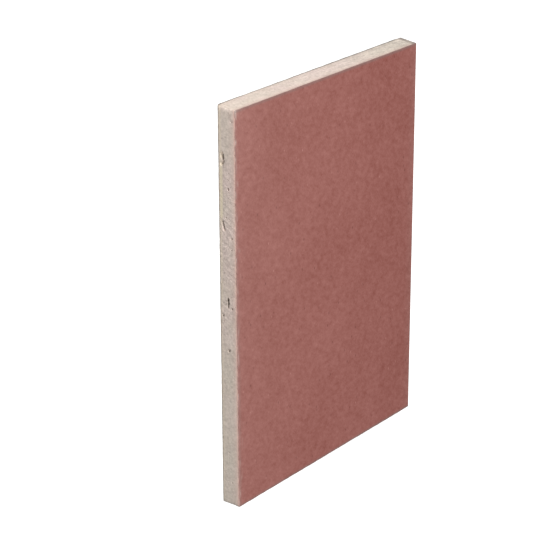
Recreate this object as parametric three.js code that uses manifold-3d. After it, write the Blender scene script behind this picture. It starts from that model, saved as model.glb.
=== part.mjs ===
// A sheet of fire-rated drywall: an A4 cut with one factory edge, lying on its back with the face up.
//
// The sheet is a foamed gypsum core between two papers. The face paper covers the face, folds round
// the factory edge and laps onto the back, and the back paper is glued over that lap. The other three
// sides are cut, so the core and the papers' edges show there, and the core's air voids lie open. The
// cut at the head end is a little out of square, and the back runs on past the face there.
//
// Millimetres. X runs across the sheet to the factory edge, Y along it, and Z up out of the face.
// The origin is under the middle of the sheet, on the plane that it lies on.

import * as THREE from "three";
import { mergeVertices, toCreasedNormals } from "three/addons/utils/BufferGeometryUtils.js";
import Module from "manifold-3d";

// Driving dimensions
const WIDTH = 210;
const LENGTH = 297;
const THICKNESS = 15;
const PAPER = 0.4;
const FOLD_RADIUS = 0.7; // outside of the face paper, where it folds at each arris
const LAP = 24; // from the factory edge to the end of the face paper on the back
const BARE_STRIP = 6; // the part of the lap that the back paper leaves open
const HEAD_SLANT = 1.8; // how far the back runs on past the face at the head end

const FOLD_STEPS = 8; // facets in each quarter turn of the fold
const SMOOTH_ANGLE = THREE.MathUtils.degToRad(35);

// Places across the section
const CUT_SIDE = -WIDTH / 2;
const FACTORY_EDGE = WIDTH / 2;
const LAP_END = FACTORY_EDGE - LAP;
const BACK_PAPER_END = FACTORY_EDGE - BARE_STRIP;

// Heights in the section
const CORE_BOTTOM = PAPER;
const LAP_TOP = 2 * PAPER;
const CORE_TOP = THICKNESS - PAPER;

// Air voids that the side cut has opened. Most are drawn out along the sheet, as the wet core was.
// along: from the back's head end; up: above the back; tilt: degrees the foot end leans to the back.
const CUT_SIDE_VOIDS = [
  { along: 35.6, up: 3.5, length: 6.8, height: 3.3, depth: 2.4, tilt: -10 },
  { along: 40.8, up: 3.2, length: 3.8, height: 3.0, depth: 1.4, tilt: 20 },
  { along: 85.3, up: 3.9, length: 8.0, height: 2.3, depth: 2.2, tilt: -14 },
  { along: 140.0, up: 7.3, length: 6.6, height: 1.9, depth: 4.5, tilt: 0 },
  { along: 143.3, up: 7.2, length: 4.4, height: 1.4, depth: 3.0, tilt: 3 },
  { along: 176.9, up: 7.5, length: 2.8, height: 1.8, depth: 1.6, tilt: 30 },
  { along: 58.3, up: 8.3, length: 2.4, height: 1.6, depth: 1.3, tilt: 0 },
  { along: 144.8, up: 10.4, length: 1.9, height: 1.5, depth: 1.2, tilt: 0 },
  { along: 151.3, up: 2.8, length: 2.1, height: 1.5, depth: 1.1, tilt: 15 },
  { along: 10.2, up: 11.7, length: 1.8, height: 1.5, depth: 0.6, tilt: -20 },
  { along: 93.4, up: 10.8, length: 1.9, height: 1.4, depth: 1.0, tilt: 30 },
];
const VOID_ROUND_STEPS = 16;
const VOID_POLE_STEPS = 10;
const VOID_LUMPS = 0.13; // how far a void's wall strays from an ellipsoid, as a share of its radius

// The core's outline and the inside of the face paper share the points of each fold.
function foldPoints(radius, centreX, centreZ, fromAngle) {
  return Array.from({ length: FOLD_STEPS + 1 }, (_, step) => {
    const angle = fromAngle + (step / FOLD_STEPS) * (Math.PI / 2);
    return new THREE.Vector2(
      centreX + radius * Math.cos(angle),
      centreZ + radius * Math.sin(angle),
    );
  });
}

// Round the factory edge from the lap up to the face, at the given distance outside the fold centres.
function edgePoints(radius) {
  const centreX = FACTORY_EDGE - FOLD_RADIUS;
  return [
    ...foldPoints(radius, centreX, PAPER + FOLD_RADIUS, -Math.PI / 2),
    ...foldPoints(radius, centreX, THICKNESS - FOLD_RADIUS, 0),
  ];
}

const foldInside = edgePoints(FOLD_RADIUS - PAPER);
const foldOutside = edgePoints(FOLD_RADIUS);

const at = (x, z) => new THREE.Vector2(x, z);

// Outlines of the three pieces in the section, each drawn anticlockwise with the face at the top.
const coreOutline = [
  at(CUT_SIDE, CORE_BOTTOM),
  at(LAP_END, CORE_BOTTOM),
  at(LAP_END, LAP_TOP),
  ...foldInside,
  at(CUT_SIDE, CORE_TOP),
];
const facePaperOutline = [
  at(LAP_END, CORE_BOTTOM),
  ...foldOutside,
  at(CUT_SIDE, THICKNESS),
  at(CUT_SIDE, CORE_TOP),
  ...foldInside.toReversed(),
  at(LAP_END, LAP_TOP),
];
const backPaperOutline = [
  at(CUT_SIDE, 0),
  at(BACK_PAPER_END, 0),
  at(BACK_PAPER_END, CORE_BOTTOM),
  at(CUT_SIDE, CORE_BOTTOM),
];

// The section runs the whole length: x across, y up from the back, z from the back's head end. The
// points at the head end are then drawn in by their height's share of the slant.
function extrudeSection(outline) {
  const geometry = new THREE.ExtrudeGeometry(new THREE.Shape(outline), {
    depth: LENGTH,
    steps: 1,
    bevelEnabled: false,
  });
  const position = geometry.attributes.position;
  for (let index = 0; index < position.count; index += 1) {
    if (position.getZ(index) === 0) {
      position.setZ(index, HEAD_SLANT * (position.getY(index) / THICKNESS));
    }
  }
  geometry.computeVertexNormals();
  return geometry;
}

const wasm = await Module();
wasm.setup();

function toSolid(geometry) {
  const bare = geometry.clone();
  bare.deleteAttribute("normal");
  bare.deleteAttribute("uv");
  const merged = mergeVertices(bare);
  return new wasm.Manifold(
    new wasm.Mesh({
      numProp: 3,
      vertProperties: merged.attributes.position.array,
      triVerts: merged.index.array,
    }),
  );
}

function toGeometry(solid) {
  const mesh = solid.getMesh();
  const geometry = new THREE.BufferGeometry();
  geometry.setAttribute("position", new THREE.BufferAttribute(mesh.vertProperties, 3));
  geometry.setIndex(new THREE.BufferAttribute(mesh.triVerts, 1));
  return toCreasedNormals(geometry, SMOOTH_ANGLE);
}

// An ellipsoid with a lumpy wall, centred on the cut side, so that half of it lies in the core.
function cutSideVoid({ along, up, length, height, depth, tilt }) {
  const geometry = new THREE.SphereGeometry(1, VOID_ROUND_STEPS, VOID_POLE_STEPS);
  const position = geometry.attributes.position;
  const point = new THREE.Vector3();
  for (let index = 0; index < position.count; index += 1) {
    point.fromBufferAttribute(position, index);
    const lump = Math.sin(3.1 * point.x + along) * Math.sin(4.3 * point.z - along);
    point.multiplyScalar(1 + VOID_LUMPS * lump);
    position.setXYZ(index, point.x, point.y, point.z);
  }
  geometry.scale(depth, height / 2, length / 2);
  geometry.rotateX(THREE.MathUtils.degToRad(tilt));
  geometry.translate(CUT_SIDE, up, along);
  return toSolid(geometry);
}

const coreBlock = toSolid(extrudeSection(coreOutline));
const openedCore = CUT_SIDE_VOIDS.reduce(
  (core, airVoid) => core.subtract(cutSideVoid(airVoid)),
  coreBlock,
);

const gypsum = new THREE.MeshStandardMaterial({ color: 0xd2c2b7, roughness: 0.95, metalness: 0 });
const pinkPaper = new THREE.MeshStandardMaterial({ color: 0x9c655e, roughness: 0.85, metalness: 0 });
const greyPaper = new THREE.MeshStandardMaterial({ color: 0x9b9184, roughness: 0.9, metalness: 0 });

const drywallSheet = new THREE.Group();
drywallSheet.name = "drywall_sheet";

function addPiece(name, geometry, material) {
  const piece = new THREE.Mesh(geometry, material);
  piece.name = name;
  piece.rotation.x = Math.PI / 2;
  piece.position.y = LENGTH / 2;
  drywallSheet.add(piece);
}

addPiece("gypsum_core", toGeometry(openedCore), gypsum);
addPiece("face_paper", extrudeSection(facePaperOutline), pinkPaper);
addPiece("back_paper", extrudeSection(backPaperOutline), greyPaper);

export default drywallSheet;
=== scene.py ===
"""The looks of a small sheet of fire-rated drywall that lies on its back with the face up.

Each of the sheet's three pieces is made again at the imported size, with what a saw and a knife leave
on it: open air voids, fine pores and saw marks on the core, and uneven cut edges on both papers.
Lengths are in millimetres, and become metres where they are put into a mesh or a material. The floor
and the lamps are in metres throughout.
"""

import math
from collections import namedtuple

import bpy
import numpy as np
from mathutils import Euler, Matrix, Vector


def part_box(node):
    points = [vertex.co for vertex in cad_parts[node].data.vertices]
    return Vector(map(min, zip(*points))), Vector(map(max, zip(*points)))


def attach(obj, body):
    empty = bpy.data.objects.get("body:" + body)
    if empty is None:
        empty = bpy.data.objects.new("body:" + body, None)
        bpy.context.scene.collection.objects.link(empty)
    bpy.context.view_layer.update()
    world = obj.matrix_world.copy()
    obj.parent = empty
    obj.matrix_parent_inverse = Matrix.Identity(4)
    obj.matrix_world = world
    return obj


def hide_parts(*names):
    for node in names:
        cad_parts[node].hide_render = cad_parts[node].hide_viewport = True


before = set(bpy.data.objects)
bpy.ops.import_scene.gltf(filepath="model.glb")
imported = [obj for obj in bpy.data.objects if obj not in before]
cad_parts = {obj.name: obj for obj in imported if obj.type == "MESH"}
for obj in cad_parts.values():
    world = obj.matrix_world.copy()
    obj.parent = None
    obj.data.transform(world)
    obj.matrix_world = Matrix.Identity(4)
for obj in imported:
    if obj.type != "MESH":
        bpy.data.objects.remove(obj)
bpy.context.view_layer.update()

# ---------------------------------------------------------------- sizes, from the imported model

MM = 0.001


def box_in_mm(node):
    """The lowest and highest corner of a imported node, in millimetres."""
    low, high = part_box(node)
    return np.array(low) / MM, np.array(high) / MM


core_low, core_high = box_in_mm("gypsum_core")
_, face_paper_high = box_in_mm("face_paper")
back_paper_low, back_paper_high = box_in_mm("back_paper")

CUT_SIDE = core_low[0]
FACTORY_EDGE = face_paper_high[0]
WIDTH = FACTORY_EDGE - CUT_SIDE
FOOT, HEAD = core_low[1], core_high[1]
LENGTH = HEAD - FOOT
BACK, FACE = back_paper_low[2], face_paper_high[2]
CORE_BOTTOM, CORE_TOP = core_low[2], core_high[2]
PAPER = FACE - CORE_TOP
BACK_PAPER_END = back_paper_high[0]

# Sizes of the solid that no box tells
FOLD_RADIUS = 0.7  # outside of the face paper, where it folds at each arris
LAP = 24  # from the factory edge to the end of the face paper, which is glued under the back paper
HEAD_SLANT = 1.8  # how far the back runs on past the face at the head end

LAP_END = FACTORY_EDGE - LAP
LAP_TOP = CORE_BOTTOM + PAPER
FOLD_CENTRE = FACTORY_EDGE - FOLD_RADIUS
FOLD_LOW = CORE_BOTTOM + FOLD_RADIUS
FOLD_HIGH = FACE - FOLD_RADIUS


def slanted(y, z):
    """A place along a square sheet, drawn towards the foot so that the head end slants in with height."""
    return y - HEAD_SLANT * (z / FACE) * (y - FOOT) / LENGTH


# ---------------------------------------------------------------- numbers that vary over a surface

NOISE_CELLS = 512  # the noise repeats after this many cells


def soft_noise(u, v, cell_u, cell_v, seed):
    """Random heights from -1 to 1 at the corners of a grid of cells, joined by 3t^2 - 2t^3 in each."""
    heights = np.random.default_rng(seed).uniform(-1, 1, (NOISE_CELLS, NOISE_CELLS))
    column, s = np.divmod(u / cell_u, 1)
    row, t = np.divmod(v / cell_v, 1)
    column, row = column.astype(int), row.astype(int)
    s, t = s * s * (3 - 2 * s), t * t * (3 - 2 * t)

    def corner(right, up):
        return heights[(column + right) % NOISE_CELLS, (row + up) % NOISE_CELLS]

    below = (1 - s) * corner(0, 0) + s * corner(1, 0)
    above = (1 - s) * corner(0, 1) + s * corner(1, 1)
    return (1 - t) * below + t * above


def soft_line(u, cell, row, seed):
    """Soft noise along a line, from one row of soft_noise's cells. Another row gives another line."""
    return soft_noise(u, row + 0 * u, cell, 1, seed)


# The two ends take their lines from rows this far on either side of 0, so that they aren't alike
CORE_END_ROW, PAPER_END_ROW = 100, 50


def near(distance, reach):
    """1 at an edge, falling to 1/e at the given reach from it: exp(-d / r)."""
    return np.exp(-distance / reach)


def band(distance, width, reach):
    """1 within a width of an edge, and beyond that falling to 1/e at the given reach."""
    return near(np.clip(distance - width, 0, None), reach)


def around(distance, reach):
    """1 at a place, falling to 1/e at the given reach on either side of it: exp(-(d / r)^2)."""
    return np.exp(-((distance / reach) ** 2))


# ---------------------------------------------------------------- meshes

SHARPEST_SMOOTH_FOLD = math.radians(40)

# How far in from a cut edge the rows of points lie, closest together where the edge is worn
EDGE_STEPS = (0, 0.15, 0.32, 0.55, 0.85, 1.2, 1.6, 2.1, 2.7, 3.4, 4.2, 5.1, 6.1)


def stations(low, high, step, fine=EDGE_STEPS):
    """Places from low to high, a step apart and closer together at both ends."""
    fine = np.array(fine)
    middle = np.linspace(low + fine[-1], high - fine[-1], int((high - low) / step))[1:-1]
    return np.concatenate([low + fine, middle, (high - fine)[::-1]])


def make_piece(name, node, points, faces, material, values):
    """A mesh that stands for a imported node, from points in millimetres and values for the material."""
    mesh = bpy.data.meshes.new(name)
    mesh.from_pydata((points * MM).tolist(), [], faces)
    mesh.update()
    mesh.polygons.foreach_set("use_smooth", np.ones(len(mesh.polygons), bool))
    mesh.set_sharp_from_angle(angle=SHARPEST_SMOOTH_FOLD)
    for attribute_name, attribute_values in values.items():
        attribute = mesh.attributes.new(attribute_name, "FLOAT", "POINT")
        attribute.data.foreach_set("value", attribute_values.ravel().astype(np.float32))
    mesh.materials.append(material)
    piece = bpy.data.objects.new(name, mesh)
    bpy.context.scene.collection.objects.link(piece)
    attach(piece, "root")
    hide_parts(node)


def quads(numbers):
    """Faces between neighbours in a two-way grid of vertex numbers."""
    corners = [numbers[:-1, :-1], numbers[1:, :-1], numbers[1:, 1:], numbers[:-1, 1:]]
    return np.stack(corners, -1).reshape(-1, 4).tolist()


# ---------------------------------------------------------------- voids, pores and saw marks

Void = namedtuple("Void", "along up length height depth tilt dark undercut_along undercut_up")

# Air voids that the side cut opened. along: from the back's head end; up: above the back; tilt: in
# degrees; dark: how much painted shade the wall gets per mm of depth; undercut: how far aside, and which
# way, the painted shade is moved, to where the void runs on under the surface. The first eleven are in
# the solid core too, and the other five are finer.
CUT_SIDE_VOIDS = [
    Void(35.6, 3.5, 6.8, 3.3, 2.4, -10, 0.22, 0.95, 0.45),
    Void(40.8, 3.2, 3.8, 3.0, 1.4, 20, 0.2, 0.55, 0.4),
    Void(85.3, 3.9, 8.0, 2.3, 2.2, -14, 0.28, -1.0, -0.3),
    Void(140.0, 7.3, 6.6, 1.9, 4.5, 0, 0.5, 0, -0.1),
    Void(143.3, 7.2, 4.4, 1.4, 3.0, 3, 0.55, 0, -0.1),
    Void(176.9, 7.5, 2.8, 1.8, 1.6, 30, 0.3, 0, 0),
    Void(58.3, 8.3, 2.4, 1.6, 1.3, 0, 0.4, 0, 0),
    Void(144.8, 10.4, 1.9, 1.5, 1.2, 0, 0.4, 0, 0),
    Void(151.3, 2.8, 2.1, 1.5, 1.1, 15, 1.2, 0.45, -0.35),
    Void(10.2, 11.7, 1.8, 1.5, 0.6, -20, 0.2, 0, 0),
    Void(93.4, 10.8, 1.9, 1.4, 1.0, 30, 0.3, 0, 0),
    Void(101.4, 10.5, 1.6, 1.2, 0.7, 0, 0.3, 0, 0),
    Void(79.2, 6.4, 1.6, 1.2, 0.7, 10, 0.3, 0, 0),
    Void(142.8, 4.7, 1.5, 1.1, 0.6, 0, 0.3, 0, 0),
    Void(279.6, 8.7, 1.6, 1.2, 0.7, 0, 0.3, 0, 0),
    Void(39.4, 4.7, 3.2, 1.3, 1.3, 15, 0.4, 0, 0),
]
FIRST_VOID_SEED = 40
RIM_UNEVEN = 0.22  # as a share of the radius squared

PORE_RADII = (0.25, 0.6)  # most pores are near the smaller one
PORE_DEPTH = 0.9  # of the radius
PORE_PAINTED_SHADE = 0.3  # painted shade in the pores, as a void's dark
SIDE_PORES, END_PORES = 210, 160


def void_depth(along, up, void, seed):
    """Half an ellipsoid sunk into the cut: depth times the root of 1 - r^2, with r uneven round the rim."""
    turn = math.radians(void.tilt)
    from_along, from_up = along - void.along, up - void.up
    long_way = (from_along * math.cos(turn) - from_up * math.sin(turn)) / (void.length / 2)
    short_way = (from_along * math.sin(turn) + from_up * math.cos(turn)) / (void.height / 2)
    uneven = 1 + RIM_UNEVEN * soft_noise(along, up, 0.9, 0.7, seed)
    return void.depth * np.sqrt(np.clip(1 - (long_way**2 + short_way**2) * uneven, 0, 1))


def opened_voids(along, up):
    """How deep the voids in the cut side are, and the painted shade and painted light on their walls.

    Each void is worked out twice: where it opens, and moved aside to where it runs on under the surface.
    The wall gets painted shade by the moved one's depth. It is painted paler, as if lit, where the
    opened one is deeper than that.
    """
    hollow, painted_shade, painted_lit_wall = np.zeros((3, *along.shape))
    for seed, void in enumerate(CUT_SIDE_VOIDS, FIRST_VOID_SEED):
        opened = void_depth(along, up, void, seed)
        undercut = void_depth(along - void.undercut_along, up - void.undercut_up, void, seed)
        hollow = np.maximum(hollow, opened)
        # painted shade, deepest where the void runs on under the surface
        painted_shade = np.maximum(painted_shade, void.dark * np.minimum(undercut, 2 * opened))
        # painted light on the void's wall that faces the lamps
        painted_lit_wall = np.maximum(painted_lit_wall, np.clip(opened - undercut - 0.2, 0, 1))
    return hollow, painted_shade, painted_lit_wall


def pore_depth(u, v, u_size, v_size, count, seed):
    """Small round bubbles at random: depth = 0.9 r (1 - d^2 / r^2).

    Foamed gypsum has bubbles down to a few hundredths of a millimetre. These are as coarse as they
    need to be to show.
    """
    random = np.random.default_rng(seed)
    middles = random.uniform((0, 0), (u_size, v_size), (count, 2))
    smallest, largest = PORE_RADII
    radii = smallest + (largest - smallest) * random.random(count) ** 3
    depth = np.zeros_like(u)
    for (middle_u, middle_v), radius in zip(middles, radii):
        away = ((u - middle_u) ** 2 + (v - middle_v) ** 2) / radius**2
        depth = np.maximum(depth, PORE_DEPTH * radius * np.clip(1 - away, 0, None))
    return depth


def saw_marks(u, v, angle, seed):
    """Noise drawn out along one direction: short cells across the stroke and long cells along it."""
    turn = math.radians(angle)
    stroke = u * math.cos(turn) + v * math.sin(turn)
    across = v * math.cos(turn) - u * math.sin(turn)
    coarse = soft_noise(stroke, across, 11.0, 1.5, seed)
    fine = soft_noise(stroke, across, 6.0, 0.7, seed + 1)
    return 0.75 * coarse + 0.25 * fine


def grain(u, v, seed):
    """Crumbly gypsum: three sizes of soft noise, each finer and lower than the last."""
    broad = soft_noise(u, v, 5.0, 5.0, seed)
    middle = soft_noise(u, v, 1.3, 1.3, seed + 1)
    fine = soft_noise(u, v, 0.6, 0.6, seed + 2)
    return 0.6 * broad + 0.3 * middle + 0.2 * fine


# ---------------------------------------------------------------- the cut faces of the core

# Each relief gives how deep a cut face lies inside the imported size, how bright it is (1 is plain, with
# painted light on the voids' lit walls) and how much painted shade its holes get. The depth starts from a
# tenth of a millimetre or less, so that what stands up stays inside that size. Crumbs are drawn about a
# millimetre wide, as coarse as they need to be to show.

STEP_AT_PAPERS = 0.3  # how far from a paper the core is torn down
SIDE_SAW_ANGLE, END_SAW_ANGLE = 60, 4  # degrees from the sheet's length, and from its width

# Places on the cut side, from the head, and how far from there each effect fades
DEEPEST_SAW_MARKS, SAW_MARKS_REACH = 112, 50
MOST_CRUMBLED, CRUMBLED_REACH = 105, 60
FRESHLY_BROKEN_REACH = 2.7  # from the head itself


def cut_side_relief(along, up, to_papers, to_head):
    """Saw marks, grain, pores and voids, with a step at the papers and a freshly broken end."""
    pores = pore_depth(along, up, LENGTH, FACE, SIDE_PORES, seed=50)
    voids, painted_void_shade, painted_lit_wall = opened_voids(along, up)
    hollow = np.maximum(pores, voids)
    # painted shade in the pores and voids
    painted_shade = np.maximum(PORE_PAINTED_SHADE * pores, painted_void_shade)

    pressed = 0.3 + 0.7 * around(along - DEEPEST_SAW_MARKS, SAW_MARKS_REACH)
    patchy = 0.75 + 0.5 * soft_noise(along, up, 26, 40, seed=66)
    marks = saw_marks(along, up, SIDE_SAW_ANGLE, seed=60) * pressed * patchy
    step = 0.14 * near(to_papers, STEP_AT_PAPERS)
    depth = 0.1 + hollow + 0.14 * marks + 0.06 * grain(along, up, seed=62) + step

    crumbled = 0.65 + around(along - MOST_CRUMBLED, CRUMBLED_REACH)
    crumbs = soft_noise(along, up, 1.1, 0.9, seed=67) * crumbled
    lumps = soft_noise(along, up, 3.0, 2.3, seed=68)
    palest_low = 1.2 - up / 14 + 0.35 * near(up - CORE_BOTTOM, 1.5)
    broken = 0.25 * palest_low * around(to_head, FRESHLY_BROKEN_REACH)
    # The last term paints light on the voids' walls that face the lamps.
    tone = 1 - 0.07 * marks - 0.1 * crumbs - 0.045 * lumps + broken + 0.35 * painted_lit_wall
    return np.maximum(depth, 0), tone, painted_shade


def end_relief(across, up, to_papers, seed):
    """Long faint saw marks across the sheet, crumbs that show more towards the factory edge, and pores."""
    pores = 0.6 * pore_depth(across, up, WIDTH, FACE, END_PORES, seed)
    marks = saw_marks(across, up, END_SAW_ANGLE, seed + 2)
    crumbs = grain(across, up, seed + 4) + 0.75 * soft_noise(across, up, 1.1, 1.0, seed + 7)
    step = 0.12 * near(to_papers, STEP_AT_PAPERS)
    depth = 0.06 + pores + 0.035 * marks + 0.04 * crumbs + step
    coarser = 0.6 + 2.0 * across / WIDTH
    tone = 1 - coarser * (0.06 * marks + 0.075 * crumbs)
    # The third value is painted shade in the pores.
    return np.maximum(depth, 0), tone, PORE_PAINTED_SHADE * pores


# ---------------------------------------------------------------- the core

SIDE_COLUMNS = 900
END_COLUMNS = 450
FACTORY_EDGE_COLUMNS = 40
CORE_STEPS = 40  # upwards, between the finer steps beside the papers

# The column that each face begins at, on the way round from the cut side's head end
FOOT_START = SIDE_COLUMNS
EDGE_START = FOOT_START + END_COLUMNS
HEAD_START = EDGE_START + FACTORY_EDGE_COLUMNS
COLUMNS = HEAD_START + END_COLUMNS

# The lap's top is one paper higher than the rest of the core's bottom, from this column of an end on
LAP_COLUMN = round((LAP_END - CUT_SIDE) / (FOLD_CENTRE - CUT_SIDE) * END_COLUMNS)

# Each row's share of the height
RISE = stations(0, 1, 1 / CORE_STEPS, fine=(0, 0.007, 0.014, 0.025, 0.039))


def core_right_side(height):
    """Where the core ends across the sheet: straight, with a quarter circle under each fold."""
    radius = FOLD_RADIUS - PAPER
    below = np.clip(FOLD_LOW - height, 0, radius)
    above = np.clip(height - FOLD_HIGH, 0, radius)
    return FOLD_CENTRE + np.sqrt(radius**2 - below**2 - above**2)


class CoreWall:
    """The core's wall before it is worn: a closed loop of columns, anticlockwise from the head.

    Every point has its place, how far it is along the sheet from the back's head end and across it from
    the cut side, and its distances to the edges.
    """

    def __init__(self):
        side = np.linspace(0, 1, SIDE_COLUMNS, endpoint=False)
        end = np.linspace(0, 1, END_COLUMNS, endpoint=False)
        edge = np.linspace(0, 1, FACTORY_EDGE_COLUMNS, endpoint=False)
        share_across = np.concatenate([0 * side, end, 1 + 0 * edge, 1 - end])[:, None]
        share_along = np.concatenate([1 - side, 0 * end, edge, 1 + 0 * end])[:, None]

        number = np.arange(COLUMNS)[:, None]
        self.on_side = number <= FOOT_START
        self.on_foot = (number >= FOOT_START) & (number <= EDGE_START)
        self.on_head = (number >= HEAD_START) | (number == 0)

        bottom = np.where(share_across > (LAP_COLUMN - 0.5) / END_COLUMNS, LAP_TOP, CORE_BOTTOM)
        self.z = bottom + (CORE_TOP - bottom) * RISE
        self.x = CUT_SIDE + share_across * (core_right_side(self.z) - CUT_SIDE)
        self.y = slanted(FOOT + share_along * LENGTH, self.z)

        self.along, self.across = HEAD - self.y, self.x - CUT_SIDE
        self.to_foot = self.y - FOOT
        self.to_head = slanted(HEAD, self.z) - self.y
        self.to_face = CORE_TOP - self.z
        self.to_papers = np.minimum(self.z - CORE_BOTTOM, self.to_face)
        self.to_factory_edge = FACTORY_EDGE - PAPER - self.x

    def by_face(self, on_side, on_head, on_foot):
        """One value on each cut face, and the foot's on the factory edge, which the paper hides."""
        return np.where(self.on_side, on_side, np.where(self.on_head, on_head, on_foot))


def worn_points(wall, side_depth, head_depth, foot_depth):
    """The wall's points, drawn in by each face's depth, with the two corners by the cut side crumbled.

    Each face's depth fades round the corner, and the head's corner is crumbled round the most.
    """
    at_head = wall.along < LENGTH / 2
    inwards = np.where(at_head, -1, 1)
    to_end = np.minimum(wall.to_head, wall.to_foot)
    round_corner = near(np.where(wall.on_side, to_end, wall.across), np.where(at_head, 1.5, 0.45))
    lumps = 1 + 0.35 * soft_line(wall.z, 1.7, row=CORE_END_ROW * inwards, seed=90)
    crumbled = np.where(at_head, 0.9, 0.22) * lumps * (1 - 0.6 * near(wall.to_face, 3)) * round_corner
    end_depth = np.where(at_head, head_depth, foot_depth)
    x = wall.x + side_depth * np.where(wall.on_side, 1, round_corner) + crumbled
    y_depth = end_depth * np.where(wall.on_foot | wall.on_head, 1, round_corner) + crumbled
    return np.stack([x, wall.y + inwards * y_depth, wall.z], -1).reshape(-1, 3)


def grey_edge_lines(wall):
    """Where the core is greyer in lines: along both papers, round the fold and at the cut side's foot."""
    by_back = band(wall.z - CORE_BOTTOM, 0.4, 0.5) * np.clip(0.35 + wall.across / 200, 0, 1)
    fold_width = 3.2 + 1.6 * near(wall.to_face, 1.0)
    fold_worn = 1 - 0.5 * around(wall.z - 9.5, 3)
    by_fold = band(wall.to_factory_edge, fold_width, 0.7) * fold_worn
    by_face = 0.55 * near(wall.to_face, 0.8)
    on_end = np.maximum(np.maximum(by_back, by_fold), by_face)

    by_back_on_side = np.where(wall.along < 80, 0.2, 0.45) * near(wall.z - CORE_BOTTOM, 0.3)
    on_side = np.maximum(by_back_on_side, np.minimum(1.3 * near(wall.to_foot, 1.0), 1))
    return 0.8 * np.where(wall.on_side, on_side, on_end)


def pale_layer_and_painted_bounce(wall):
    """A layer of denser, paler gypsum on the back paper, which shows most from 45 to 78 mm along. Its
    yellow is partly painted reflected light.
    """
    strongest = np.interp(wall.along, (40, 45, 78, 83), (0, 1, 1, 0))
    reach = (0.8 + 0.5 * strongest) * np.where(wall.along < 140, 1, 0.6)
    layer = around(wall.z - CORE_BOTTOM - 0.6 - reach, reach)
    return np.where(wall.on_side, (0.45 + 0.55 * strongest) * layer, 0.13 * near(wall.across, 60))


def layer_line(wall):
    """How much darker a thin line on the cut side is, where the denser layer ends."""
    strength = np.interp(wall.along, (40, 46, 80, 92, 118), (0, 1, 1, 0.7, 0))
    return 0.17 * strength * around(wall.z - 4.1, 0.5)


def pink_dust(wall):
    """Dust from the face paper, which the saw and the knife drew down over the core's upper edges."""
    on_side = 0.6 * near(wall.to_face, 2.0) + 0.3 * near(wall.to_face, 0.5)
    return np.where(wall.on_side, on_side, 0.45 * near(wall.to_face, 1.4))


def greyer_part_share(wall):
    """Where the gypsum is greyer: the cut side's foot half and the ends beside the factory edge."""
    on_side = 0.35 * np.clip((wall.along - 150) / 60, 0, 1) * (1 - near(wall.to_face, 2.5))
    return np.where(wall.on_side, on_side, 0.5 * np.clip((wall.across - 130) / 50, 0, 1))


def core_faces():
    """The wall's quads and its caps: one flat face on top, and below one on each side of the lap's step.

    The step itself is the last face.
    """
    numbers = np.arange(COLUMNS * len(RISE)).reshape(COLUMNS, -1)
    bottom_row = numbers[:, 0]
    foot_before, foot_after = FOOT_START + LAP_COLUMN - 1, FOOT_START + LAP_COLUMN
    head_after, head_before = COLUMNS - LAP_COLUMN, COLUMNS - LAP_COLUMN + 1
    plain = np.concatenate([bottom_row[: foot_before + 1], bottom_row[head_before:]])
    lapped = bottom_row[foot_after : head_after + 1]
    step = bottom_row[[foot_before, head_before, head_after, foot_after]]
    caps = [numbers[:, -1].tolist(), plain[::-1].tolist(), lapped[::-1].tolist(), step.tolist()]
    return quads(np.concatenate([numbers, numbers[:1]])) + caps


def make_core(material):
    """The core: a worn wall between two caps, with what the material needs to know at each point."""
    wall = CoreWall()
    to_fold = np.minimum(wall.to_papers, wall.to_factory_edge)
    side_depth, side_tone, side_painted_shade = cut_side_relief(
        wall.along, wall.z, wall.to_papers, wall.to_head,
    )
    head_depth, head_tone, head_painted_shade = end_relief(wall.across, wall.z, to_fold, seed=70)
    foot_depth, foot_tone, foot_painted_shade = end_relief(wall.across, wall.z, to_fold, seed=80)
    crushed_pale = 0.06 * around(wall.to_face - 1.5, 0.8)  # a stripe just under the face paper
    values = {
        "tone": wall.by_face(side_tone + crushed_pale - layer_line(wall), head_tone, foot_tone),
        "greyer_part": greyer_part_share(wall),
        # painted shade in the pores and voids
        "painted_shade_in_holes": wall.by_face(side_painted_shade, head_painted_shade, foot_painted_shade),
        "pink_dust": pink_dust(wall),
        "pale_band": pale_layer_and_painted_bounce(wall),
        "grey_line": grey_edge_lines(wall),
    }
    points = worn_points(wall, side_depth, head_depth, foot_depth)
    make_piece("sawn_gypsum_core", "gypsum_core", points, core_faces(), material, values)


# ---------------------------------------------------------------- the papers

STEP_ACROSS, STEP_ALONG = 2.5, 1.0  # from point to point, away from the edges
FOLD_STEPS = 10
STRAIGHT_STEPS = 6  # down the factory edge between the folds
LAP_STEPS = 9

MOST_THINNED = 0.75  # of the paper's thickness


def quarter_turn(radius, centre_z, start):
    """Points on a quarter circle round the fold's centre, clockwise from the start angle in degrees."""
    angle = math.radians(start) - np.linspace(0, math.pi / 2, FOLD_STEPS + 1)
    return np.stack([FOLD_CENTRE + radius * np.cos(angle), centre_z + radius * np.sin(angle)], -1)


def level(across, height):
    """Points of a section line that runs level at the given height."""
    return np.stack([across, np.full_like(across, height)], -1)


def fold_section(radius, top, lap_height):
    """Across the face, down round the factory edge and back along the lap, as (x, z) points."""
    face = level(stations(CUT_SIDE, FOLD_CENTRE, STEP_ACROSS)[: -len(EDGE_STEPS)], top)
    straight_z = np.linspace(FOLD_HIGH, FOLD_LOW, STRAIGHT_STEPS + 1)[1:-1]
    straight = np.stack([np.full_like(straight_z, FOLD_CENTRE + radius), straight_z], -1)
    lap = level(np.linspace(FOLD_CENTRE, LAP_END, LAP_STEPS + 1)[1:], lap_height)
    upper, lower = quarter_turn(radius, FOLD_HIGH, 90), quarter_turn(radius, FOLD_LOW, 0)
    return np.concatenate([face, upper, straight, lower, lap])


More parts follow.
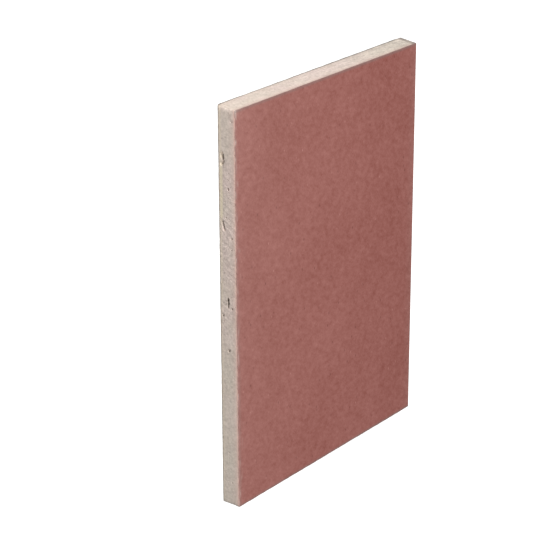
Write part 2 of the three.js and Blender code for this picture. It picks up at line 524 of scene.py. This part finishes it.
def paper_faces(skin, under):
    """Faces over the skin, under it, and along the four edges between the two."""
    faces = quads(skin) + quads(under[:, ::-1])
    for one_edge, other_edge in (
        (under[0], skin[0]),
        (skin[-1], under[-1]),
        (skin[:, 0], under[:, 0]),
        (under[:, -1], skin[:, -1]),
    ):
        faces += quads(np.stack([one_edge, other_edge], -1).T)
    return faces


def paper_points(outside, inside, walked, y, frayed, seed):
    """The paper's skin and under side, with cut edges that stray and an outer corner pressed round.

    Edges stray by a few tenths of a millimetre: a steady part and two sizes of soft noise, which fade
    into the sheet. The corner is thinned by up to three quarters of the paper.
    """
    to_end = np.minimum(y - FOOT, HEAD - y)
    inwards = np.where(y > 0, -1, 1)
    thin = 0.45 * near(to_end, 0.25) + 0.45 * near(walked, 0.25)
    thin = np.clip(thin - 0.1 * soft_noise(walked, y, 28, 40, seed), 0, MOST_THINNED)[..., None]
    outer = outside[None] + (inside - outside)[None] * thin
    inner = np.broadcast_to(inside[None], outer.shape)

    end_row = PAPER_END_ROW * inwards
    end_strays = 0.1 + 0.1 * soft_line(walked, 3.5, end_row, seed + 1)
    end_strays = np.clip(end_strays + 0.05 * soft_line(walked, 0.9, end_row, seed + 2), 0, None)
    side_strays = 0.9 + soft_line(y, 3.4, 0, seed + 3)
    side_strays = np.clip(side_strays + 0.45 * soft_line(y, 1.5, 0, seed + 4), 0, None)
    worn_corner = (0.3 - frayed) * near(to_end, 0.6)
    shift_y = inwards * end_strays * near(to_end, 0.8)
    shift_x = (frayed * side_strays + np.clip(worn_corner, 0, None)) * near(walked, 0.8)
    return np.stack([
        np.stack([surface[..., 0] + shift_x, slanted(y, surface[..., 1]) + shift_y, surface[..., 1]], -1)
        for surface in (outer, inner)
    ])


def gypsum_dust_and_sheen_on_paper(walked, y, dust_and_sheen_level, seed):
    """Gypsum dust and painted sheen: a haze from the cut side, partly dust and partly painted sheen,
    strongest towards the head; more dust beside the cut, on scuffs and at the broken corner.

    The paper is also a little paler where the fold is worn.
    """
    from_head = (HEAD - y) / LENGTH
    # painted sheen, partly dust: paler towards the head and the cut side
    haze = (0.056 - 0.022 * from_head) * near(walked, 85)
    beside_cut = (0.12 + 0.02 * from_head) * near(walked, 1.3)
    beside_cut = beside_cut * (1 + 0.7 * soft_noise(walked, y, 1.5, 3.4, seed + 5))
    scuffs = np.clip(soft_noise(walked, y, 1.3, 6, seed + 7) - 0.45, 0, 1) * near(walked, 3)
    broken_corner = 0.5 * near(walked + HEAD - y, 2.5)
    worn_fold = 0.04 * near(np.abs(walked - (FOLD_CENTRE - CUT_SIDE)), 3)
    return dust_and_sheen_level * (haze + beside_cut + 0.6 * scuffs) + broken_corner + worn_fold


def crushed_and_shaded_rims(walked, y, crushed_and_shaded, seed):
    """Where the knife and the saw leave the paper grey: partly squashed paper, and partly painted shade.

    It is greyest for 1.1 mm from each end, and not at all from 2.3 mm on. The cut side is rubbed, and a
    line of painted shade 1.9 mm in from it, towards the foot, stands for a dent.
    """
    from_head = (HEAD - y) / LENGTH
    to_end = np.minimum(y - FOOT, HEAD - y)
    # grey ends, partly squashed paper and partly painted shade
    crushed_and_shaded_end = np.interp(walked, (0, WIDTH), crushed_and_shaded) * np.clip((2.3 - to_end) / 1.2, 0, 1)
    rubbed = 0.2 * near(walked, 1.3) * (1 + 0.4 * soft_noise(walked, y, 40, 3.4, seed + 6))
    # painted shade of a dent 1.9 mm in from the cut side, towards the foot
    painted_dent_shade = 0.14 * around(walked - 1.9, 0.7) * np.clip((from_head - 0.2) / 0.3, 0, 1)
    return np.maximum(crushed_and_shaded_end, np.maximum(rubbed, 0.8 * near(to_end, 0.2))) + painted_dent_shade


def paper_clouds(walked, y, cloud_seeds):
    """Paper is never one even colour: clouds a few centimetres wide, longer along the machine's run."""
    broad, smaller = cloud_seeds
    clouds = 0.5 + 0.14 * soft_noise(walked, y, 42, 50, broad)
    return clouds + 0.12 * soft_noise(walked, y, 20, 24, smaller)


def make_paper(name, node, outside, inside, material, dust_and_sheen_level, frayed, crushed_and_shaded, cloud_seeds, seed):
    """A sheet of paper as thick as the gap between two section lines, run along the length and closed.

    walked: how far a point is from the cut side, along the section line. dust_and_sheen_level: 1 for the
    most dust and painted sheen. frayed: how far the cut side's edge strays. crushed_and_shaded: how grey
    the ends are, partly squashed paper and partly painted shade, at the cut side and as far from it as
    the sheet is wide.
    """
    # The rows' order along the sheet turns the faces outwards, whichever way the section is walked
    y = stations(FOOT, HEAD, STEP_ALONG)
    if (inside - outside)[0, 1] < 0:
        y = y[::-1]
    walked = np.concatenate([[0], np.cumsum(np.linalg.norm(np.diff(outside, axis=0), axis=1))])
    walked, y = np.meshgrid(walked, y)

    points = paper_points(outside, inside, walked, y, frayed, seed)
    skin, under = np.arange(points[..., 0].size).reshape(points.shape[:3])
    values = {
        "cut_rim": crushed_and_shaded_rims(walked, y, crushed_and_shaded, seed),
        "dust_and_sheen": gypsum_dust_and_sheen_on_paper(walked, y, dust_and_sheen_level, seed),
        "clouds": paper_clouds(walked, y, cloud_seeds),
    }
    both_sides = {key: np.stack([value, value]) for key, value in values.items()}
    make_piece(name, node, points.reshape(-1, 3), paper_faces(skin, under), material, both_sides)


# ---------------------------------------------------------------- materials

FACTOR, COLOUR_A, COLOUR_B, COLOUR_RESULT = 0, 6, 7, 2  # sockets of a colour Mix node


def linear(hex_colour):
    """An sRGB colour such as "#9c655e" as the linear red, green, blue and alpha that shaders take."""
    channels = [int(hex_colour[i : i + 2], 16) / 255 for i in (1, 3, 5)]
    return [c / 12.92 if c <= 0.04045 else ((c + 0.055) / 1.055) ** 2.4 for c in channels] + [1.0]


def add_node(tree, kind, inputs=None, **settings):
    """Adds a node with its settings. An input is a value, or another node's output to link."""
    node = tree.nodes.new(kind)
    for name, value in settings.items():
        setattr(node, name, value)
    for socket, value in (inputs or {}).items():
        if isinstance(value, bpy.types.NodeSocket):
            tree.links.new(value, node.inputs[socket])
        else:
            node.inputs[socket].default_value = value
    return node


def new_material(name):
    """An empty node material with its output node."""
    material = bpy.data.materials.new(name)
    material.use_nodes = True
    tree = material.node_tree
    tree.nodes.clear()
    return material, tree, tree.nodes.new("ShaderNodeOutputMaterial")


# How many millimetres a pattern's cell measures. Real gypsum crystals and paper fibres are a few
# hundredths of a millimetre wide, and these are as coarse as they need to be to show.
GYPSUM_CRUMB = 2.0
FIBRE = 0.75
PAPER_MOTTLE = 3.8
PAPER_THICKNESS = 8  # thicker and thinner places, as wide as the pulp's clumps

# Refraction of gypsum, and of cellulose with its filler
GYPSUM_IOR, PAPER_IOR = 1.52, 1.5
GYPSUM_ROUGHNESS = 0.95

# Drifts where the slurry set a little pinker or greyer: the cell, the largest share and the colour
GYPSUM_DRIFTS = ((12, 1.0, "#d5c3bb"), (17, 0.5, "#d1c6b9"))

# What colours the core over its own cream, in this order, by the attribute that says how much: a
# paler layer that is partly painted reflected light, pink dust, grey lines, and painted shade in the holes
GYPSUM_WEAR_AND_PAINTED_LIGHT = (
    ("pale_band", "#ddd0b6"),
    ("pink_dust", "#e0b0a2"),
    ("grey_line", "#7f766f"),
    ("painted_shade_in_holes", "#6f6358"),
)


def foamed_gypsum():
    """Foamed gypsum, sawn: chalky and matt, cream with paler and greyer drifts, greyer by the papers, with
    painted shade in its holes and painted light on the voids' lit walls.
    """
    material, tree, output = new_material("foamed_gypsum_sawn")
    place = add_node(tree, "ShaderNodeTexCoord").outputs["Object"]
    colour = linear("#cfbfb4")

    for cell, most, drift_colour in GYPSUM_DRIFTS:
        noise = add_node(
            tree, "ShaderNodeTexNoise",
            {"Vector": place, "Scale": 1 / (cell * MM), "Detail": 1.5},
        )
        share = add_node(
            tree, "ShaderNodeMapRange",
            {"Value": noise.outputs["Fac"], "From Min": 0.35, "From Max": 0.65, "To Max": most},
        )
        drift = add_node(
            tree, "ShaderNodeMix",
            {FACTOR: share.outputs[0], COLOUR_A: colour, COLOUR_B: linear(drift_colour)},
            data_type="RGBA",
        )
        colour = drift.outputs[COLOUR_RESULT]

    share = add_node(tree, "ShaderNodeAttribute", attribute_name="greyer_part")
    drift = add_node(
        tree, "ShaderNodeMix",
        {FACTOR: share.outputs["Fac"], COLOUR_A: colour, COLOUR_B: linear("#c3beae")},
        data_type="RGBA",
    )
    colour = drift.outputs[COLOUR_RESULT]

    # Bright and dark crumbs, the brighter and darker strokes of the saw, and painted light on the voids'
    # lit walls
    crumbs = add_node(
        tree, "ShaderNodeTexNoise",
        {"Vector": place, "Scale": 1 / (GYPSUM_CRUMB * MM), "Detail": 4.0, "Roughness": 0.65},
    )
    speckle = add_node(
        tree, "ShaderNodeMapRange",
        {"Value": crumbs.outputs["Fac"], "From Min": 0.32, "From Max": 0.68, "To Min": 0.85,
         "To Max": 1.13},
    )
    tone = add_node(tree, "ShaderNodeAttribute", attribute_name="tone")
    for brightness in (speckle.outputs[0], tone.outputs["Fac"]):
        shaded = add_node(
            tree, "ShaderNodeMix", {FACTOR: 1.0, COLOUR_A: colour, COLOUR_B: brightness},
            data_type="RGBA", blend_type="MULTIPLY",
        )
        colour = shaded.outputs[COLOUR_RESULT]

    # The last of these is painted shade in the pores and voids.
    for attribute_name, wear_and_painted_light_colour in GYPSUM_WEAR_AND_PAINTED_LIGHT:
        share = add_node(tree, "ShaderNodeAttribute", attribute_name=attribute_name)
        wear_and_painted_light = add_node(
            tree, "ShaderNodeMix",
            {FACTOR: share.outputs["Fac"], COLOUR_A: colour, COLOUR_B: linear(wear_and_painted_light_colour)},
            data_type="RGBA",
        )
        colour = wear_and_painted_light.outputs[COLOUR_RESULT]

    bump = add_node(
        tree, "ShaderNodeBump",
        {"Height": crumbs.outputs["Fac"], "Strength": 0.5, "Distance": 0.08 * MM},
    )
    shader = add_node(
        tree, "ShaderNodeBsdfPrincipled",
        {"Base Color": colour, "Roughness": GYPSUM_ROUGHNESS, "IOR": GYPSUM_IOR,
         "Normal": bump.outputs["Normal"]},
    )
    tree.links.new(shader.outputs[0], output.inputs["Surface"])
    return material


def liner_paper(name, dark, light, rim_colour, dark_fleck, pale_fleck, roughness):
    """Multi-ply liner board off a paper machine: matt, mottled, with flecks and fibres along the sheet.

    Its colour is as much lighter or darker in red as in green and blue, so the hue stays the same.
    """
    material, tree, output = new_material(name)
    place = add_node(tree, "ShaderNodeTexCoord").outputs["Object"]

    # The machine lays fibres and flecks along the sheet, so they are drawn out to twice the length
    drawn_out = add_node(
        tree, "ShaderNodeMapping", {"Vector": place, "Scale": (1.0, 0.5, 1.0)},
    ).outputs[0]
    fibres = add_node(
        tree, "ShaderNodeTexNoise",
        {"Vector": drawn_out, "Scale": 1 / (FIBRE * MM), "Detail": 3.0},
    )

    # The noise's own grid leans one way, so the mottle is drawn out the other way and looks even
    drawn_aslant = add_node(
        tree, "ShaderNodeMapping",
        {"Vector": place, "Rotation": (0, 0, math.radians(-32)), "Scale": (1.12, 0.9, 1.0)},
        vector_type="TEXTURE",
    ).outputs[0]
    mottle = add_node(
        tree, "ShaderNodeTexNoise",
        {"Vector": drawn_aslant, "Scale": 1 / (PAPER_MOTTLE * MM), "Detail": 2.2, "Roughness": 0.6},
    )
    thickness = add_node(
        tree, "ShaderNodeTexNoise",
        {"Vector": place, "Scale": 1 / (PAPER_THICKNESS * MM), "Detail": 2.0},
    )

    # How pale the pulp is, from the dark colour at 0 to the light one at 1: the broad clouds, with the
    # mottle, the thicker and thinner places and the fibres' streaks added
    paleness = add_node(tree, "ShaderNodeAttribute", attribute_name="clouds").outputs["Fac"]
    for noise, change in ((mottle, 0.54), (thickness, 0.3), (fibres, 0.47)):
        share = add_node(
            tree, "ShaderNodeMapRange",
            {"Value": noise.outputs["Fac"], "From Min": 0.2, "From Max": 0.8, "To Min": -change,
             "To Max": change},
        )
        added = add_node(tree, "ShaderNodeMath", {0: paleness, 1: share.outputs[0]}, operation="ADD")
        paleness = added.outputs[0]
    pulp = add_node(
        tree, "ShaderNodeMix",
        {FACTOR: paleness, COLOUR_A: linear(dark), COLOUR_B: linear(light)},
        data_type="RGBA", clamp_factor=False,
    )
    colour = pulp.outputs[COLOUR_RESULT]

    # Flecks of recycled fibre, one in each cell: the cell, the fleck's reach, its share and its colour
    for cell, reach, most, fleck_colour in (
        (6.5, 0.7, 0.65, dark_fleck),
        (8.0, 0.65, 0.45, pale_fleck),
    ):
        spots = add_node(
            tree, "ShaderNodeTexVoronoi",
            {"Vector": drawn_out, "Scale": 1 / (cell * MM), "Randomness": 1.0},
        )
        inside = add_node(
            tree, "ShaderNodeMapRange",
            {"Value": spots.outputs["Distance"], "From Min": 0.3 * reach / cell, "From Max": reach / cell,
             "To Min": most, "To Max": 0.0},
        )
        flecked = add_node(
            tree, "ShaderNodeMix",
            {FACTOR: inside.outputs[0], COLOUR_A: colour, COLOUR_B: linear(fleck_colour)},
            data_type="RGBA",
        )
        colour = flecked.outputs[COLOUR_RESULT]

    # Gypsum dust, which also carries a painted sheen, and grey cut rims, which are partly painted shade
    for attribute_name, wear_and_painted_light_colour in (("dust_and_sheen", "#e4dad0"), ("cut_rim", rim_colour)):
        share = add_node(tree, "ShaderNodeAttribute", attribute_name=attribute_name)
        wear_and_painted_light = add_node(
            tree, "ShaderNodeMix",
            {FACTOR: share.outputs["Fac"], COLOUR_A: colour, COLOUR_B: linear(wear_and_painted_light_colour)},
            data_type="RGBA",
        )
        colour = wear_and_painted_light.outputs[COLOUR_RESULT]

    bump = add_node(
        tree, "ShaderNodeBump",
        {"Height": fibres.outputs["Fac"], "Strength": 0.4, "Distance": 0.04 * MM},
    )
    shader = add_node(
        tree, "ShaderNodeBsdfPrincipled",
        {"Base Color": colour, "Roughness": roughness, "IOR": PAPER_IOR,
         "Normal": bump.outputs["Normal"]},
    )
    tree.links.new(shader.outputs[0], output.inputs["Surface"])
    return material


# ---------------------------------------------------------------- the pieces

make_core(foamed_gypsum())

pink_liner = liner_paper(
    "pink_liner_paper", dark="#8e4f46", light="#a1655d", rim_colour="#7d706c",
    dark_fleck="#602821", pale_fleck="#cc938b", roughness=0.8,
)
grey_liner = liner_paper(
    "grey_liner_paper", dark="#8e8475", light="#a69b8b", rim_colour="#4f4942",
    dark_fleck="#6b6255", pale_fleck="#bdb3a3", roughness=0.85,
)

make_paper(
    "pink_face_paper", "face_paper",
    fold_section(FOLD_RADIUS, FACE, CORE_BOTTOM),
    fold_section(FOLD_RADIUS - PAPER, CORE_TOP, LAP_TOP),
    pink_liner, dust_and_sheen_level=1.0, frayed=0.15, crushed_and_shaded=(0.36, 0.48), cloud_seeds=(15896, 25356), seed=100,
)

back_x = stations(CUT_SIDE, BACK_PAPER_END, STEP_ACROSS)
make_paper(
    "grey_back_paper", "back_paper",
    level(back_x, BACK),
    level(back_x, CORE_BOTTOM),
    grey_liner, dust_and_sheen_level=0.8, frayed=0.1, crushed_and_shaded=(0.25, 0.9), cloud_seeds=(141, 142), seed=120,
)


# ---------------------------------------------------------------- floor, light and camera

FLOOR_HALF = 6.0  # from the middle to each side
FLOOR_HEIGHT = -0.2 * MM  # just under the back paper
WHITE = (1, 1, 1, 1)

# The floor as the light that bounces off it finds it, and as the camera sees it, lifted to white
BOUNCING_FLOOR, SEEN_FLOOR = (0.45, 0.45, 0.45, 1), (0.85, 0.85, 0.85, 1)
FLOOR_LIFT = 0.6

WORLD_LEVEL = 0.3  # how strongly the world lights the sheet


def pale_floor():
    """A matt pale floor that the camera sees as white where nothing shades it."""
    material, tree, output = new_material("pale_floor")
    seen = add_node(tree, "ShaderNodeLightPath")
    plain = add_node(tree, "ShaderNodeBsdfDiffuse", {"Color": BOUNCING_FLOOR})
    pale = add_node(tree, "ShaderNodeBsdfDiffuse", {"Color": SEEN_FLOOR})
    lift = add_node(tree, "ShaderNodeEmission", {"Color": WHITE, "Strength": FLOOR_LIFT})
    lifted = add_node(tree, "ShaderNodeAddShader", {0: pale.outputs[0], 1: lift.outputs[0]})
    floor = add_node(
        tree, "ShaderNodeMixShader",
        {0: seen.outputs["Is Camera Ray"], 1: plain.outputs[0], 2: lifted.outputs[0]},
    )
    tree.links.new(floor.outputs[0], output.inputs["Surface"])
    return material


floor_mesh = bpy.data.meshes.new("floor")
floor_corners = [(-1, -1), (1, -1), (1, 1), (-1, 1)]
floor_points = [(x * FLOOR_HALF, y * FLOOR_HALF, FLOOR_HEIGHT) for x, y in floor_corners]
floor_mesh.from_pydata(floor_points, [], [(0, 1, 2, 3)])
floor_mesh.materials.append(pale_floor())
floor = bpy.data.objects.new("floor", floor_mesh)
bpy.context.scene.collection.objects.link(floor)


def add_lamp(name, place, size, share):
    """A round soft lamp aimed at the sheet. Its share is how bright it makes a white card that faces it."""
    lamp = bpy.data.lights.new(name, "AREA")
    lamp.shape = "DISK"
    lamp.size = size
    lamp.energy = share * (math.pi * Vector(place).length) ** 2
    holder = bpy.data.objects.new(name, lamp)
    holder.location = place
    holder.rotation_euler = (-Vector(place)).to_track_quat("-Z", "Y").to_euler()
    bpy.context.scene.collection.objects.link(holder)


def light_world():
    """Even light from all round, which the camera sees as white."""
    world = bpy.data.worlds.new("studio")
    world.use_nodes = True
    tree = world.node_tree
    tree.nodes.clear()
    seen = add_node(tree, "ShaderNodeLightPath")
    strength = add_node(
        tree, "ShaderNodeMapRange",
        {"Value": seen.outputs["Is Camera Ray"], "To Min": WORLD_LEVEL, "To Max": 1.0},
    )
    background = add_node(
        tree, "ShaderNodeBackground", {"Color": WHITE, "Strength": strength.outputs[0]},
    )
    add_node(tree, "ShaderNodeOutputWorld", {"Surface": background.outputs[0]})
    bpy.context.scene.world = world


add_lamp("head_lamp", place=(-0.454, 1.485, 0.772), size=0.65, share=0.829)
add_lamp("side_lamp", place=(-0.704, -0.266, 1.068), size=0.6, share=0.434)
light_world()

CAMERA_TARGET = Vector((-50.86, 9.09, 7.5)) * MM
CAMERA_AZIMUTH, CAMERA_ELEVATION, CAMERA_ROLL = -117.38, 35.149, 106.392  # degrees
CAMERA_DISTANCE = 1437.82 * MM
CAMERA_LENS = 132.32  # focal length in millimetres

azimuth, elevation = math.radians(CAMERA_AZIMUTH), math.radians(CAMERA_ELEVATION)
towards_camera = Vector((
    math.sin(azimuth) * math.cos(elevation),
    -math.cos(azimuth) * math.cos(elevation),
    math.sin(elevation),
))
camera_data = bpy.data.cameras.new("camera")
camera_data.lens = CAMERA_LENS
camera = bpy.data.objects.new("camera", camera_data)
camera.location = CAMERA_TARGET + towards_camera * CAMERA_DISTANCE
level_view = (-towards_camera).to_track_quat("-Z", "Y")
roll = Euler((0, 0, math.radians(CAMERA_ROLL))).to_quaternion()
camera.rotation_euler = (level_view @ roll).to_euler()
bpy.context.scene.collection.objects.link(camera)
bpy.context.scene.camera = camera

bpy.context.scene.view_settings.view_transform = "Standard"
